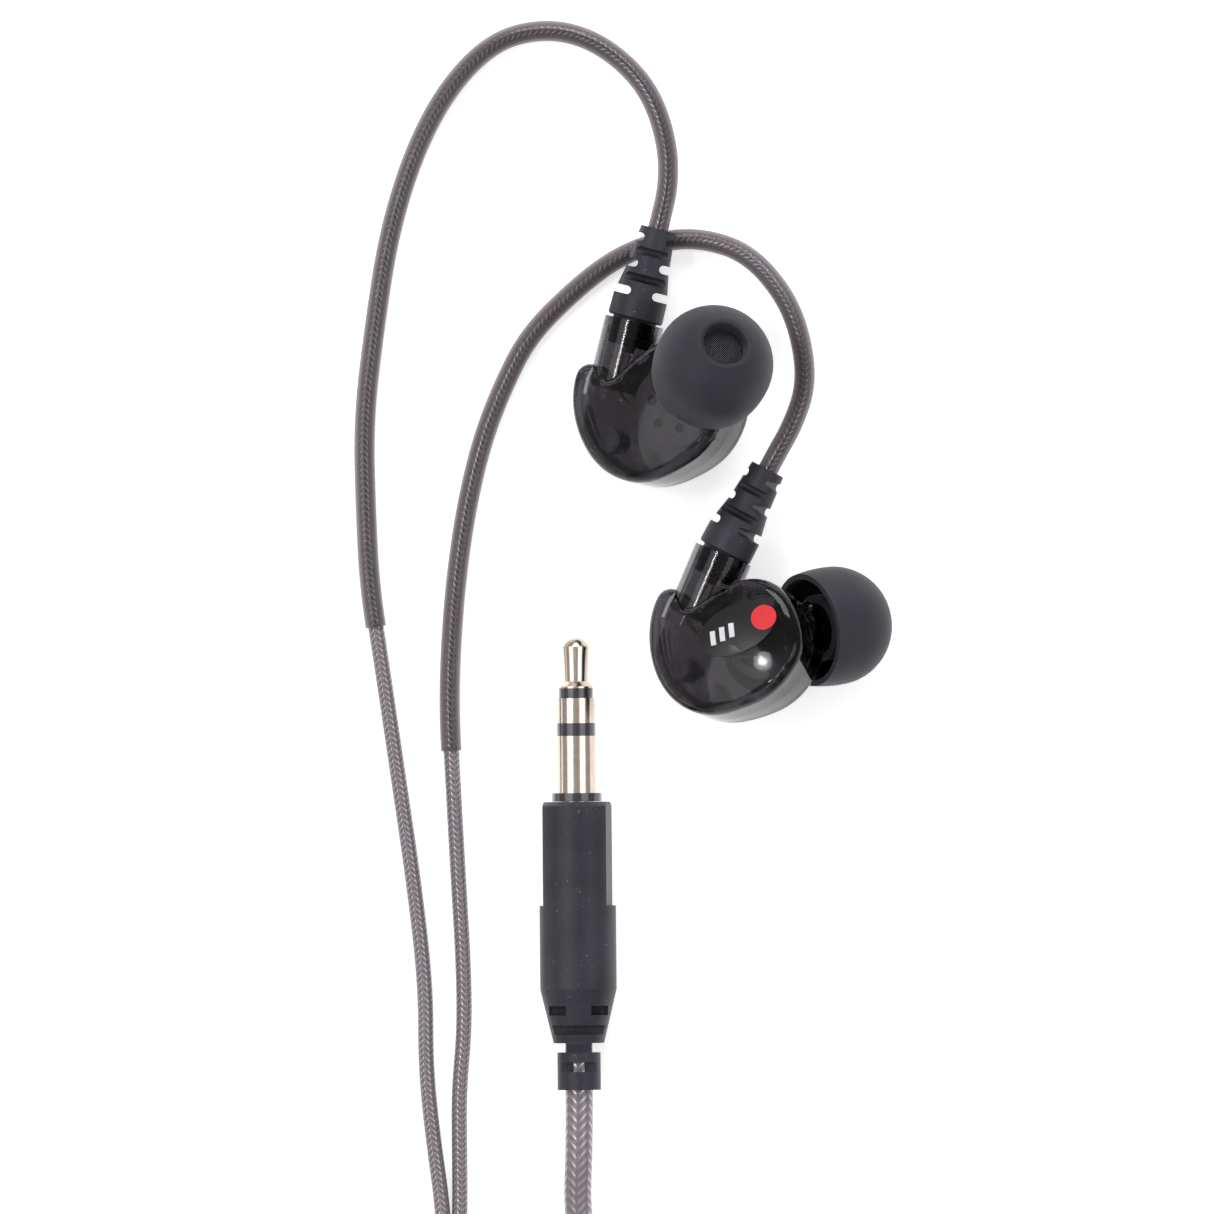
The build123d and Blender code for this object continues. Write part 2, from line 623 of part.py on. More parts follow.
with BuildPart() as plug_insulators:
    add(plug_ring_at(neck_insulator_radius, rod_radius, tip_back, ring_span[0]))
    add(plug_ring_at(rod_skin, rod_radius, tip_back, ring_tube_end + 0.6))
    add(plug_ring_at(contact_radius, tube_radius, ring_span[1], sleeve_span[0]))
    add(plug_ring_at(tube_skin, tube_radius, ring_span[1], sleeve_tail_end + 0.5))

conductor_from, conductor_to, conductor_radius = 19.2, 36.0, 0.22
with BuildPart() as plug_conductors:
    with BuildSketch(Plane.XY.offset(-conductor_from)):
        with PolarLocations(0.6, 3):
            Circle(conductor_radius)
    extrude(amount=conductor_from - conductor_to)

with BuildPart() as plug_grip:
    add(turned(down(grip_outside)))
    flat_gap = grip_radius - grip_flat
    with Locations(Location((0, 0, -flat_end / 2), (0, 0, -flat_turn))):
        with Locations((grip_flat + flat_gap, 0), (-grip_flat - flat_gap, 0)):
            Box(2 * flat_gap, 3 * grip_radius, flat_end, mode=Mode.SUBTRACT)
    pocket_x, pocket_y = plug_web + pocket_width / 2, pocket_floor + grip_radius
    pocket_places = [
        (side * pocket_x, face * pocket_y, -plug_side_slots[0]) for side in (1, -1) for face in (1, -1)
    ]
    with Locations(*pocket_places):
        Box(pocket_width, 2 * grip_radius, plug_slot, mode=Mode.SUBTRACT)
    with Locations(*[(side * (plug_web + grip_radius), 0, -plug_side_slots[1]) for side in (1, -1)]):
        Box(2 * grip_radius, 3 * grip_radius, plug_slot, mode=Mode.SUBTRACT)
    for distance in plug_front_slots:
        with Locations(*[(0, side * (plug_web + grip_radius), -distance) for side in (1, -1)]):
            Box(3 * grip_radius, 2 * grip_radius, plug_slot, mode=Mode.SUBTRACT)
    lug_room = [(contact_radius - 0.2, 14.0), (contact_radius - 0.2, sleeve_tail_end),
                (tube_skin, sleeve_tail_end), (tube_skin, sleeve_tail_end + 0.5), (tube_radius, sleeve_tail_end + 0.5),
                (tube_radius, ring_tube_end), (rod_skin, ring_tube_end), (rod_skin, ring_tube_end + 0.6),
                (rod_radius, ring_tube_end + 0.6), (rod_radius, tip_rod_end)]
    add(turned(down(lug_room)), mode=Mode.SUBTRACT)
    add(plug_conductors.part, mode=Mode.SUBTRACT)
    add(plug_ring_at(main_bore, 0, conductor_to, grip_end + 1), mode=Mode.SUBTRACT)

plug_axis = (-sin(radians(plug_turn)), cos(radians(plug_turn)), 0)
plug_across = (cos(radians(plug_turn)), sin(radians(plug_turn)), 0)
plug_plane = Plane(origin=plug_at, x_dir=plug_across, z_dir=plug_axis)
collar = plug_ring_at(collar_radius, contact_radius - 0.2, sleeve_span[1], collar_end)
for name, shape in (
    ("plug_tip", plug_tip.part), ("plug_ring", plug_ring.part), ("plug_sleeve", plug_sleeve.part),
    ("plug_insulators", plug_insulators.part), ("plug_collar", collar),
    ("plug_conductors", plug_conductors.part), ("plug_grip", plug_grip.part),
):
    save(name, placed(shape, plug_plane))
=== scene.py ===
"""In-ear monitors: the cords, their sleeves and the looks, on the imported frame."""

from math import cos, pi, radians, sin

import bmesh
import bpy
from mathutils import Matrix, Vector


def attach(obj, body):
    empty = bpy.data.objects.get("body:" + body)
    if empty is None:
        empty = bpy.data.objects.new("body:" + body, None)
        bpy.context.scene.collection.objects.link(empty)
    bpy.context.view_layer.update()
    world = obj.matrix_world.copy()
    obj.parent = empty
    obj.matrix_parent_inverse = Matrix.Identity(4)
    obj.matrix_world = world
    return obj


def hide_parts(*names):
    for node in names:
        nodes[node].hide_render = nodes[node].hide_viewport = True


MM = 0.001
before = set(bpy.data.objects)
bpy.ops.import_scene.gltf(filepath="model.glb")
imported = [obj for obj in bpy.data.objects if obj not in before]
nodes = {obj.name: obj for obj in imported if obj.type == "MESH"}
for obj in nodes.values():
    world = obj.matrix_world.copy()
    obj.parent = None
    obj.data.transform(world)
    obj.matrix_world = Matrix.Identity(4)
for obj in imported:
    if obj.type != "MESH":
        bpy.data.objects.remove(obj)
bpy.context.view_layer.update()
scene = bpy.context.scene


# ---------------------------------------------------------------- camera
VIEW_WIDTH, VIEW_CENTRE, VIEW_HEIGHT = 0.10937, (-0.01081, -0.01198), 4.0
MIDDLE_HEIGHT = 0.004  # height above the floor at which the picture is VIEW_WIDTH wide
SENSOR_WIDTH = 36.0
camera_data = bpy.data.cameras.new("camera")
camera_data.sensor_width = SENSOR_WIDTH
camera_data.lens = SENSOR_WIDTH * (VIEW_HEIGHT - MIDDLE_HEIGHT) / VIEW_WIDTH
camera_data.clip_start, camera_data.clip_end = 0.1, 20.0
camera = bpy.data.objects.new("camera", camera_data)
camera.location = (*VIEW_CENTRE, VIEW_HEIGHT)
scene.collection.objects.link(camera)
scene.camera = camera


# ---------------------------------------------------------------- cord routes, in millimetres
LEFT_LEAD = [
    (-9.067, 10.932, 3.616), (-5.974, 22.94, 3.681), (-5.26, 26.11, 3.55), (-5.36, 29.71, 3.0),
    (-6.66, 33.91, 2.3), (-8.96, 36.91, 1.7), (-12.36, 39.31, 1.3), (-16.36, 40.21, 1.0),
    (-20.96, 39.11, 0.95), (-25.06, 35.01, 0.95), (-28.16, 29.21, 0.95), (-30.46, 21.81, 0.95),
    (-31.76, 13.41, 0.95), (-32.76, 4.91, 0.95), (-32.56, -3.29, 0.95),
    (-32.21, -10.19, 0.95), (-31.11, -17.19, 0.95), (-29.66, -27.09, 0.71), (-28.26, -36.59, 0.71),
    (-27.16, -45.99, 0.71), (-27.16, -53.29, 0.71), (-26.56, -59.39, 0.71), (-25.56, -66.49, 0.75),
    (-25.46, -71.59, 1.7), (-24.96, -76.09, 3.5), (-24.36, -80.59, 4.0),
]
RIGHT_LEAD = [
    (-1.659, -9.79, 5.966), (4.071, 1.199, 6.371), (5.84, 4.21, 6.3), (7.14, 7.91, 5.9), (6.74, 12.11, 5.1),
    (5.24, 16.11, 4.1), (1.94, 19.91, 2.5), (-2.26, 21.31, 1.15), (-6.26, 21.01, 0.97), (-10.16, 19.41, 0.95),
    (-13.76, 16.61, 0.95), (-17.86, 12.51, 0.95), (-20.16, 8.01, 0.95), (-22.06, 3.11, 0.95),
    (-23.46, -2.79, 0.95), (-24.36, -8.89, 0.95), (-24.86, -14.89, 0.95), (-25.06, -21.09, 0.95),
    (-24.66, -28.49, 0.95),
    (-24.21, -36.59, 0.71), (-23.76, -44.09, 0.71), (-23.66, -50.09, 0.71), (-24.16, -55.59, 0.71),
    (-24.11, -60.89, 0.71), (-24.06, -66.29, 0.71), (-24.26, -72.59, 0.8), (-24.16, -79.09, 1.1),
]
LEFT_TAIL = [(-24.26, -88.39, 4.6), (-25.56, -90.99, 2.9), (-26.66, -93.79, 1.7), (-26.66, -108.59, 1.7)]
RIGHT_TAIL = [(-24.76, -87.69, 2.4), (-27.46, -90.29, 1.9), (-28.66, -93.59, 1.7), (-28.66, -108.59, 1.7)]
MAIN_LEAD = [(-27.66, -112.09, 1.7), (-27.66, -119.29, 1.7), (-24.46, -123.29, 1.65)]
MAIN_TAIL = [
    (10.84, -111.09, 8.3), (9.54, -103.59, 5.9), (5.54, -96.39, 3.3), (0.04, -90.29, 1.8),
    (-5.36, -84.29, 1.3), (-9.86, -77.69, 1.25), (-12.66, -71.69, 1.4), (-13.56, -66.09, 2.1),
    (-13.26, -60.09, 3.45), (-13.346, -50.69, 3.45),
]

# Radii of the cords and of the sleeves over them, and where each sleeve starts and ends
BRANCH_RADIUS, MAIN_RADIUS = 0.705, 1.23
SLEEVE_RADIUS, SLEEVE_BORE = 0.93, 0.735
SLEEVE_ENDS = {
    "left": ((-6.486, 20.954, 3.67), (-31.66, -13.69, 0.95)),
    "right": ((3.124, -0.618, 6.305), (-24.86, -24.79, 0.95)),
}

# Coils: centre, inner and outer radius, layers, turns in all, angle at the start, way round
BRANCH_COIL = ((-33.46, -85.09), 6.3, 9.2, 2, 4, 0.0, -1)
MAIN_COIL = ((-5.96, -118.09), 10.85, 16.7, 4, 9.375, radians(225), 1)
LEFT_COIL_LOW, RIGHT_COIL_LOW, MAIN_COIL_LOW = 3.95, 1.11, 1.63  # height of the lowest layer's middle
LAYER_GAP = 0.01
COIL_STEPS = 16  # points in each turn
CLIMB_TURN = 0.25  # part of a turn in which the cord climbs on to the next layer


def coil_points(centre, inner, outer, layers, turns, start, way, pitch):
    """The turns of a wound coil: each layer winds across, then climbs on to the next where it turns back."""
    points = []
    per_layer = turns / layers
    count = round(turns * COIL_STEPS)
    grow = 1 / cos(pi / COIL_STEPS)  # the spline cuts its corners, so its control points lie a little outside
    for index in range(count + 1):
        turn = index / COIL_STEPS
        layer = min(int(turn / per_layer), layers - 1)
        across = turn / per_layer - layer
        radius = outer + (inner - outer) * (across if layer % 2 == 0 else 1 - across)
        climb = max(0.0, 1 - (1 - across) * per_layer / CLIMB_TURN) if layer < layers - 1 else 0.0
        height = pitch[0] + pitch[1] * (layer + climb)
        angle = start + way * 2 * pi * turn
        reach = radius * grow
        points.append((centre[0] + reach * cos(angle), centre[1] + reach * sin(angle), height))
    return points


def route_spline(name, points):
    """One smooth line whose control points are a cord's route, in metres."""
    curve = bpy.data.curves.new(name, "CURVE")
    curve.dimensions = "3D"
    spline = curve.splines.new("NURBS")
    spline.points.add(len(points) - 1)
    for point, place in zip(spline.points, points):
        point.co = (*[value * MM for value in place], 1.0)
    spline.order_u = 3
    spline.use_endpoint_u = True
    spline.resolution_u = 10
    line = bpy.data.objects.new(name, curve)
    scene.collection.objects.link(line)
    bpy.context.view_layer.update()
    mesh = bpy.data.meshes.new_from_object(line.evaluated_get(bpy.context.evaluated_depsgraph_get()))
    path = [vertex.co.copy() for vertex in mesh.vertices]
    bpy.data.meshes.remove(mesh)
    bpy.data.objects.remove(line)
    return path


def spaced(path, step):
    """The same line with its points a fixed step apart."""
    total = sum((b - a).length for a, b in zip(path, path[1:]))
    count = max(2, round(total / step))
    made, walked, index = [path[0].copy()], 0.0, 0
    for number in range(1, count):
        target = total * number / count
        while walked + (path[index + 1] - path[index]).length < target:
            walked += (path[index + 1] - path[index]).length
            index += 1
        run = path[index + 1] - path[index]
        made.append(path[index] + run * ((target - walked) / run.length))
    made.append(path[-1].copy())
    return made


def sweep(name, path, radius, sides, bore=None):
    """A round tube along a line, solid or with a bore; its UVs are millimetres along and one turn round."""
    mesh = bpy.data.meshes.new(name)
    build = bmesh.new()
    layer = build.loops.layers.uv.new("UVMap")
    up, walked, stations = Vector((0, 0, 1)), 0.0, []
    for index, here in enumerate(path):
        along = (path[min(index + 1, len(path) - 1)] - path[max(index - 1, 0)]).normalized()
        up = (up - along * up.dot(along)).normalized()
        if index:
            walked += (here - path[index - 1]).length
        stations.append((here, up, along.cross(up), walked, radius))
    if bore:
        stations += [(*station[:4], bore) for station in reversed(stations)]
    turns = [2 * pi * step / sides for step in range(sides)]
    loops = []
    for here, top, side, at, reach in stations:
        spokes = [(top * cos(turn) + side * sin(turn)) * reach for turn in turns]
        loops.append(([build.verts.new(here + spoke) for spoke in spokes], at))
    pairs = list(zip(loops, loops[1:]))
    if bore:
        pairs.append((loops[-1], loops[0]))
    else:
        build.faces.new(loops[0][0])
        build.faces.new(loops[-1][0])
    for (low, at_low), (high, at_high) in pairs:
        for step in range(sides):
            after = (step + 1) % sides
            face = build.faces.new((low[step], low[after], high[after], high[step]))
            face.smooth = at_low != at_high
            places = ((step, at_low), (step + 1, at_low), (step + 1, at_high), (step, at_high))
            for loop, (turn, at) in zip(face.loops, places):
                loop[layer].uv = (at / MM, turn / sides)
    bmesh.ops.recalc_face_normals(build, faces=build.faces)
    build.to_mesh(mesh)
    build.free()
    piece = bpy.data.objects.new(name, mesh)
    scene.collection.objects.link(piece)
    return piece


def cord_piece(name, points, radius, sides, step):
    """A cord as a mesh tube on its spline, with the line that it follows."""
    path = spaced(route_spline(name + "_line", points), step)
    return sweep(name, path, radius, sides), path


def coiled_route(lead, coil, low, radius, tail):
    """A whole route: the lead, the coil's turns from its lowest layer up, and the tail."""
    return lead + coil_points(*coil, (low, 2 * radius + LAYER_GAP)) + tail


BRANCH_SHAPE = (BRANCH_RADIUS * MM, 20, 0.4 * MM)  # radius, sides and step
MAIN_SHAPE = (MAIN_RADIUS * MM, 26, 0.6 * MM)
left_route = coiled_route(LEFT_LEAD, BRANCH_COIL, LEFT_COIL_LOW, BRANCH_RADIUS, LEFT_TAIL)
right_route = coiled_route(RIGHT_LEAD, BRANCH_COIL, RIGHT_COIL_LOW, BRANCH_RADIUS, RIGHT_TAIL)
main_route = coiled_route(MAIN_LEAD, MAIN_COIL, MAIN_COIL_LOW, MAIN_RADIUS, MAIN_TAIL)
left_cord, left_path = cord_piece("left_branch_cord", left_route, *BRANCH_SHAPE)
right_cord, right_path = cord_piece("right_branch_cord", right_route, *BRANCH_SHAPE)
main_cord, main_path = cord_piece("main_cord", main_route, *MAIN_SHAPE)


def nearest(path, place):
    """The index of a path's point that lies nearest to a place in millimetres."""
    target = Vector(place) * MM
    return min(range(len(path)), key=lambda index: (path[index] - target).length)


def ear_sleeve(name, path, ends):
    """The clear sleeve over the part of a branch that goes over the ear."""
    first, last = [nearest(path, place) for place in ends]
    return sweep(name, path[first:last + 1], SLEEVE_RADIUS * MM, 28, bore=SLEEVE_BORE * MM)


left_sleeve = ear_sleeve("left_clear_sleeve", left_path, SLEEVE_ENDS["left"])
right_sleeve = ear_sleeve("right_clear_sleeve", right_path, SLEEVE_ENDS["right"])

for side, cord, sleeve in (("left", left_cord, left_sleeve), ("right", right_cord, right_sleeve)):
    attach(cord, "monitors")
    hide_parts(f"{side}_cable", f"{side}_cable_coil", f"{side}_cable_tail")
    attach(sleeve, "monitors")
    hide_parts(f"{side}_ear_sleeve")
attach(main_cord, "monitors")
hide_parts("main_cable", "main_cable_coil", "main_cable_tail")


# ---------------------------------------------------------------- materials
def material(name, colour, roughness=0.5, metallic=0.0, **sockets):
    """A Principled material with its plain values set on the shader's own sockets."""
    made = bpy.data.materials.new(name)
    made.use_nodes = True
    shader = made.node_tree.nodes["Principled BSDF"]
    shader.inputs["Base Color"].default_value = (*colour, 1.0)
    shader.inputs["Roughness"].default_value = roughness
    shader.inputs["Metallic"].default_value = metallic
    for socket, value in sockets.items():
        shader.inputs[socket.replace("_", " ")].default_value = value
    return made, made.node_tree, shader


def node(tree, kind, **values):
    """A node with its own settings, such as a math node's operation."""
    made = tree.nodes.new(kind)
    for name, value in values.items():
        setattr(made, name, value)
    return made


def math(tree, operation, first, second=None, third=None, clamp=False):
    """A math node on sockets or numbers; returns its output."""
    made = node(tree, "ShaderNodeMath", operation=operation, use_clamp=clamp)
    for index, value in enumerate((first, second, third)):
        if value is None:
            continue
        if isinstance(value, (int, float)):
            made.inputs[index].default_value = value
        else:
            tree.links.new(value, made.inputs[index])
    return made.outputs[0]


def noise(tree, scale, detail=2.0, roughness=0.5):
    """Noise in the piece's own space, its scale in repeats per millimetre."""
    where = node(tree, "ShaderNodeTexCoord")
    made = node(tree, "ShaderNodeTexNoise")
    made.inputs["Scale"].default_value = scale / MM
    made.inputs["Detail"].default_value = detail
    made.inputs["Roughness"].default_value = roughness
    tree.links.new(where.outputs["Object"], made.inputs["Vector"])
    return made.outputs["Fac"]


def ramp(tree, value, stops):
    """A colour ramp with (position, colour) stops."""
    made = node(tree, "ShaderNodeValToRGB")
    made.color_ramp.elements[0].position, made.color_ramp.elements[1].position = stops[0][0], stops[-1][0]
    made.color_ramp.elements[0].color = (*stops[0][1], 1)
    made.color_ramp.elements[1].color = (*stops[-1][1], 1)
    for position, colour in stops[1:-1]:
        made.color_ramp.elements.new(position).color = (*colour, 1)
    tree.links.new(value, made.inputs["Fac"])
    return made.outputs["Color"]


def bump(tree, shader, height, strength, distance):
    """Relief from a height socket, its distance in metres."""
    made = node(tree, "ShaderNodeBump")
    made.inputs["Strength"].default_value = strength
    made.inputs["Distance"].default_value = distance
    tree.links.new(height, made.inputs["Height"])
    tree.links.new(made.outputs["Normal"], shader.inputs["Normal"])


DUST, SPECK_SCALE = (0.10, 0.10, 0.11, 1), 4.0
MIX_FIRST, MIX_SECOND, MIX_RESULT = 6, 7, 2  # a mix node's colour sockets


def soft_rubber(name, colour, light, grain, roughness, speck=None, sheen=0.0):
    """Moulded rubber or silicone: a fine grain, slow colour change and a few pale specks of dust."""
    made, tree, shader = material(name, colour, roughness, Specular_IOR_Level=0.3, Sheen_Weight=sheen,
                                  Sheen_Roughness=0.4)
    tone = math(tree, "ADD", math(tree, "MULTIPLY", noise(tree, 0.25, 3), 0.6),
                math(tree, "MULTIPLY", noise(tree, grain, 2), 0.4))
    base = ramp(tree, tone, [(0.35, colour), (0.68, light)])
    if speck:
        dots = math(tree, "GREATER_THAN", noise(tree, SPECK_SCALE, 0), speck)
        mix = node(tree, "ShaderNodeMix", data_type="RGBA")
        tree.links.new(dots, mix.inputs["Factor"])
        tree.links.new(base, mix.inputs[MIX_FIRST])
        mix.inputs[MIX_SECOND].default_value = DUST
        base = mix.outputs[MIX_RESULT]
    tree.links.new(base, shader.inputs["Base Color"])
    bump(tree, shader, noise(tree, grain, 3, 0.7), 0.25, 0.03 * MM)
    return made


BRAID_PERIOD = 0.54  # millimetres along a branch cord from one V to the next


def along_and_round(tree):
    """A swept tube's own coordinates: millimetres along it, and turns round it."""
    where = node(tree, "ShaderNodeUVMap", uv_map="UVMap")
    split = node(tree, "ShaderNodeSeparateXYZ")
    tree.links.new(where.outputs["UV"], split.inputs[0])
    return split.outputs["X"], split.outputs["Y"]


def braid(name, period, columns, slope, light, dark, gap, silver):
    """A clear jacket over a herringbone braid: slanting strands with silvery crests that meet in Vs."""
    made, tree, shader = material(name, light, 0.3, Coat_Weight=0.3, Coat_Roughness=0.15)
    along, round_it = along_and_round(tree)
    column = math(tree, "FRACT", math(tree, "MULTIPLY", round_it, columns / 2))
    fold = math(tree, "ABSOLUTE", math(tree, "SUBTRACT", math(tree, "MULTIPLY", column, 2.0), 1.0))
    wobble = math(tree, "MULTIPLY", noise(tree, 0.5, 1), 0.25)
    phase = math(tree, "ADD", math(tree, "DIVIDE", along, period), math(tree, "MULTIPLY", fold, slope))
    wave = math(tree, "SINE", math(tree, "MULTIPLY", math(tree, "ADD", phase, wobble), 2 * pi))
    strand = math(tree, "MULTIPLY", math(tree, "ADD", wave, 1.0), 0.5)
    inside = math(tree, "MINIMUM", fold, math(tree, "SUBTRACT", 1.0, fold))
    height = math(tree, "MULTIPLY", strand, math(tree, "MULTIPLY", inside, 6.0, clamp=True))
    tree.links.new(ramp(tree, height, [(0.0, gap), (0.35, dark), (0.8, light), (1.0, silver)]),
                   shader.inputs["Base Color"])
    tree.links.new(ramp(tree, height, [(0.8, (0, 0, 0)), (1.0, (1, 1, 1))]), shader.inputs["Metallic"])
    bump(tree, shader, height, 0.35, 0.05 * MM)
    return made


thin_braid = braid("thin_braid", BRAID_PERIOD, 8, 1.0, light=(0.19, 0.162, 0.177), dark=(0.165, 0.138, 0.152),
                   gap=(0.14, 0.116, 0.13), silver=(0.52, 0.48, 0.505))
thick_braid = braid("thick_braid", 1.5 * BRAID_PERIOD, 8, 1.15, light=(0.27, 0.235, 0.255),
                    dark=(0.225, 0.192, 0.21), gap=(0.185, 0.157, 0.172), silver=(0.52, 0.48, 0.51))
left_cord.data.materials.append(thin_braid)
right_cord.data.materials.append(thin_braid)
main_cord.data.materials.append(thick_braid)


def clear_tube(name, colour, period):
    """A soft clear sleeve: see-through in the middle, its own tint towards its edges, faintly rippled."""
    made, tree, shader = material(name, colour, 0.12, IOR=1.45)
    facing = node(tree, "ShaderNodeLayerWeight")
    facing.inputs["Blend"].default_value = 0.5
    cover = math(tree, "MULTIPLY", facing.outputs["Facing"], 2.4, clamp=True)
    cloud = math(tree, "MULTIPLY", noise(tree, 0.6, 2), 0.15)
    tree.links.new(math(tree, "ADD", cover, cloud, clamp=True), shader.inputs["Alpha"])
    along, _ = along_and_round(tree)
    ripple = math(tree, "SINE", math(tree, "MULTIPLY", along, 2 * pi / period))
    bump(tree, shader, math(tree, "ADD", ripple, noise(tree, 1.5, 2)), 0.5, 0.02 * MM)
    return made


clear_sleeve = clear_tube("clear_sleeve", (0.20, 0.170, 0.186), BRAID_PERIOD)
left_sleeve.data.materials.append(clear_sleeve)
right_sleeve.data.materials.append(clear_sleeve)

silicone = soft_rubber("tip_silicone", (0.020, 0.0195, 0.027), (0.033, 0.032, 0.042), 9.0, 0.6, sheen=0.12)
boot = soft_rubber("soft_boot", (0.022, 0.021, 0.029), (0.038, 0.037, 0.048), 6.0, 0.45, 0.82, sheen=0.05)
shell, _, _ = material("smoked_shell", (0.20, 0.188, 0.205), 0.07, Transmission_Weight=1.0, IOR=1.35)
neck_clear, _, _ = material("clear_neck", (0.22, 0.21, 0.228), 0.10, Transmission_Weight=1.0, IOR=1.35)
slider_clear, slider_tree, slider_shader = material("clear_slider", (0.05, 0.047, 0.052), 0.25)
bump(slider_tree, slider_shader, noise(slider_tree, 4.0), 0.2, 0.03 * MM)


def plated(name, colour, roughness):
    """Plated metal with faint draw marks and slight tarnish."""
    made, tree, shader = material(name, colour, roughness, 1.0)
    tone = ramp(tree, noise(tree, 0.7, 4), [(0.3, tuple(c * 0.86 for c in colour)), (0.7, colour)])
    tree.links.new(tone, shader.inputs["Base Color"])
    marks = math(tree, "MULTIPLY_ADD", noise(tree, 2.5, 3), 0.12, roughness - 0.05)
    tree.links.new(marks, shader.inputs["Roughness"])
    return made


gold = plated("plug_gold", (0.78, 0.66, 0.56), 0.17)
steel = plated("driver_steel", (0.50, 0.49, 0.50), 0.32)
nickel = plated("magnet_nickel", (0.62, 0.62, 0.64), 0.2)
copper = plated("enamelled_copper", (0.80, 0.42, 0.26), 0.28)


def waves_along(tree, axes, pitch):
    """Sine waves along the piece's own axes, with their pitch in metres."""
    where = node(tree, "ShaderNodeTexCoord")
    split = node(tree, "ShaderNodeSeparateXYZ")
    tree.links.new(where.outputs["Object"], split.inputs[0])
    return [math(tree, "SINE", math(tree, "MULTIPLY", split.outputs[axis], 2 * pi / pitch)) for axis in axes]


def mesh_cloth(name, pitch):
    """A woven wire screen: dots of metal between holes painted near-black as the shade that fills them."""
    made, tree, shader = material(name, (0.3, 0.29, 0.31), 0.35, 1.0)
    waves = waves_along(tree, "XY", pitch)
    height = math(tree, "MULTIPLY", math(tree, "ADD", math(tree, "MULTIPLY", waves[0], waves[1]), 1.0), 0.5)
    # painted shade: the holes between the wires are coloured near-black for the shade behind the screen
    tree.links.new(ramp(tree, height, [(0.45, (0.004, 0.004, 0.006)), (0.85, (0.16, 0.155, 0.17))]),
                   shader.inputs["Base Color"])
    bump(tree, shader, height, 0.8, 0.05 * MM)
    return made


screen = mesh_cloth("screen_mesh", 0.2 * MM)


def gloss(name, colour, change, coat=1.0):
    """Gloss print or moulding with a faint unevenness."""
    made, tree, shader = material(name, colour, 0.3)
    tone = ramp(tree, noise(tree, 0.5, 3), [(0.3, colour), (0.7, change)])
    tree.links.new(tone, shader.inputs["Base Color"])
    shader.inputs["Coat Weight"].default_value = coat
    shader.inputs["Coat Roughness"].default_value = 0.03
    return made


badge_black = gloss("badge_black", (0.004, 0.004, 0.005), (0.007, 0.007, 0.008), 0.0)
insulator = gloss("insulator_black", (0.018, 0.016, 0.022), (0.028, 0.026, 0.033))
red = gloss("marker_red", (0.66, 0.010, 0.016), (0.74, 0.018, 0.026))
blue = gloss("marker_blue", (0.03, 0.10, 0.45), (0.04, 0.13, 0.52))
silver = gloss("badge_silver", (0.66, 0.66, 0.68), (0.72, 0.72, 0.74), 0.3)
basket = gloss("driver_basket", (0.025, 0.025, 0.027), (0.035, 0.035, 0.037), 0.2)
board = gloss("circuit_board", (0.02, 0.10, 0.05), (0.03, 0.14, 0.07), 0.5)
film = gloss("diaphragm_film", (0.70, 0.66, 0.60), (0.76, 0.72, 0.66), 0.6)


def woven_band(name, pitch):
    """Woven hook-and-loop band: a fine dark weave."""
    made, tree, shader = material(name, (0.02, 0.02, 0.022), 0.8)
    waves = waves_along(tree, "XYZ", pitch)
    height = math(tree, "ADD", math(tree, "MULTIPLY", waves[0], waves[1]), waves[2])
    tree.links.new(ramp(tree, height, [(0.0, (0.012, 0.012, 0.014)), (1.0, (0.035, 0.035, 0.038))]),
                   shader.inputs["Base Color"])
    bump(tree, shader, height, 0.5, 0.04 * MM)
    return made


band = woven_band("tie_band", 0.4 * MM)

# Looks by node name, or by what follows left_ or right_. The cables and sleeves have theirs already.
LOOKS = {
    "outer_shell": shell, "inner_shell": shell, "nozzle_screen": screen, "ear_tip": silicone,
    "neck_tube": neck_clear, "driver_front_cover": steel, "driver_basket": basket, "diaphragm": film,
    "voice_coil": copper, "top_plate": steel, "magnet": nickel, "yoke": steel, "terminal_board": board,
    "badge": badge_black, "badge_bars": silver, "strain_relief": boot, "lead_wires": copper,
    "plug_tip": gold, "plug_ring": gold, "plug_sleeve": gold, "plug_collar": insulator,
    "plug_insulators": insulator, "plug_conductors": copper, "plug_grip": boot, "chin_slider": slider_clear,
    "y_splitter": boot, "cable_ties": band,
}
for name, piece in nodes.items():
    side, _, kind = name.partition("_")
    if kind == "side_marker":
        look = red if side == "right" else blue
    else:
        look = LOOKS.get(name) or LOOKS.get(kind)
    if look is None:
        continue
    piece.data.materials.clear()
    piece.data.materials.append(look)


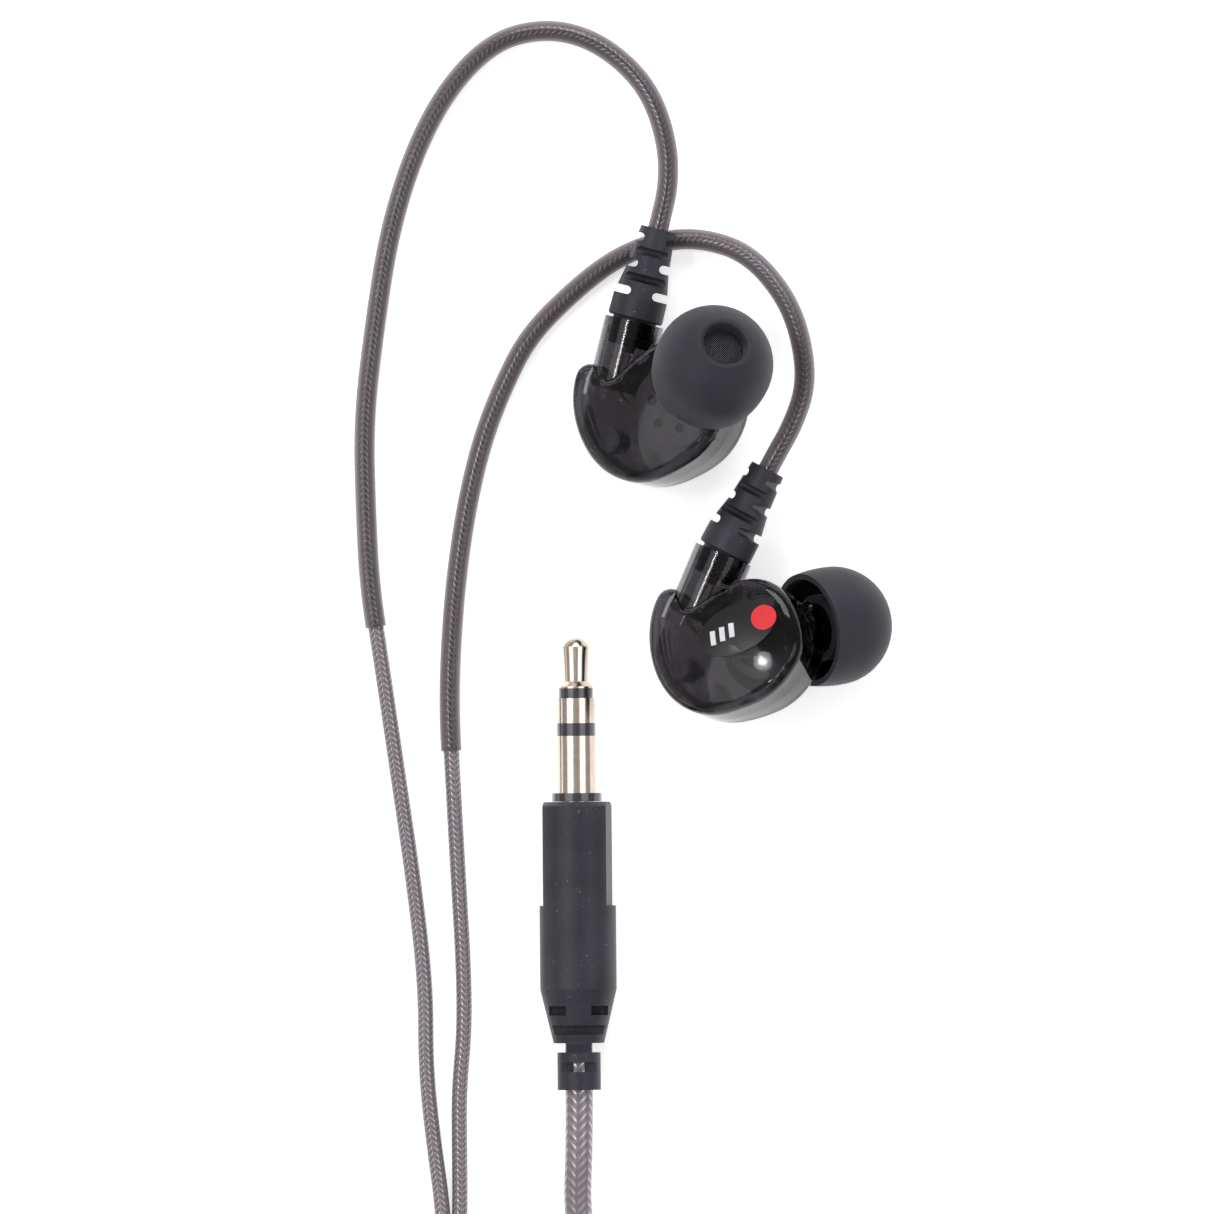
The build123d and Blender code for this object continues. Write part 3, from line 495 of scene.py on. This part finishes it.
# ---------------------------------------------------------------- floor and lights
FLOOR_SIZE, FLOOR_DROP = 6, 0.05 * MM
half = FLOOR_SIZE / 2
floor_mesh = bpy.data.meshes.new("floor")
corners = [(-half, -half, 0), (half, -half, 0), (half, half, 0), (-half, half, 0)]
floor_mesh.from_pydata(corners, [], [(0, 1, 2, 3)])
floor = bpy.data.objects.new("floor", floor_mesh)
floor.location = (0, 0, -FLOOR_DROP)
scene.collection.objects.link(floor)
floor_look, _, floor_shader = material("floor", (0.9, 0.9, 0.9), 0.9)
floor_shader.inputs["Emission Color"].default_value = (1, 1, 1, 1)
floor_shader.inputs["Emission Strength"].default_value = 0.55
floor_shader.inputs["Specular IOR Level"].default_value = 0.0
floor.data.materials.append(floor_look)


def panel(name, way, distance, size, radiance):
    """An oval softbox facing the origin from a direction, given by how bright its face looks."""
    data = bpy.data.lights.new(name, "AREA")
    data.shape = "ELLIPSE"
    data.size, data.size_y = size
    data.energy = radiance * pi * (pi * size[0] * size[1] / 4)  # brightness x pi x the oval's area
    place = Vector(way).normalized() * distance
    lamp = bpy.data.objects.new(name, data)
    lamp.location = place
    lamp.rotation_euler = (-place).to_track_quat("-Z", "Y").to_euler()
    scene.collection.objects.link(lamp)


panel("left_panel", (-0.62, -0.05, 0.78), 1.0, (0.85, 0.6), 1.7)
panel("right_panel", (0.60, -0.05, 0.80), 1.0, (0.55, 0.6), 1.7)
panel("top_panel", (0.05, 0.78, 0.62), 1.0, (0.7, 0.5), 6.0)
panel("key", (-0.42, 0.14, 0.89), 1.2, (0.20, 0.20), 8.0)
panel("key_core", (-0.42, 0.14, 0.89), 1.15, (0.10, 0.10), 32.0)
panel("side_key", (-0.10, -0.30, 0.95), 1.2, (0.07, 0.07), 35.0)

world = bpy.data.worlds.new("world")
scene.world = world
world.use_nodes = True
sky = world.node_tree.nodes["Background"]
sky.inputs["Color"].default_value = (0.97, 0.95, 0.98, 1)
sky.inputs["Strength"].default_value = 0.40
scene.view_settings.view_transform = "Standard"
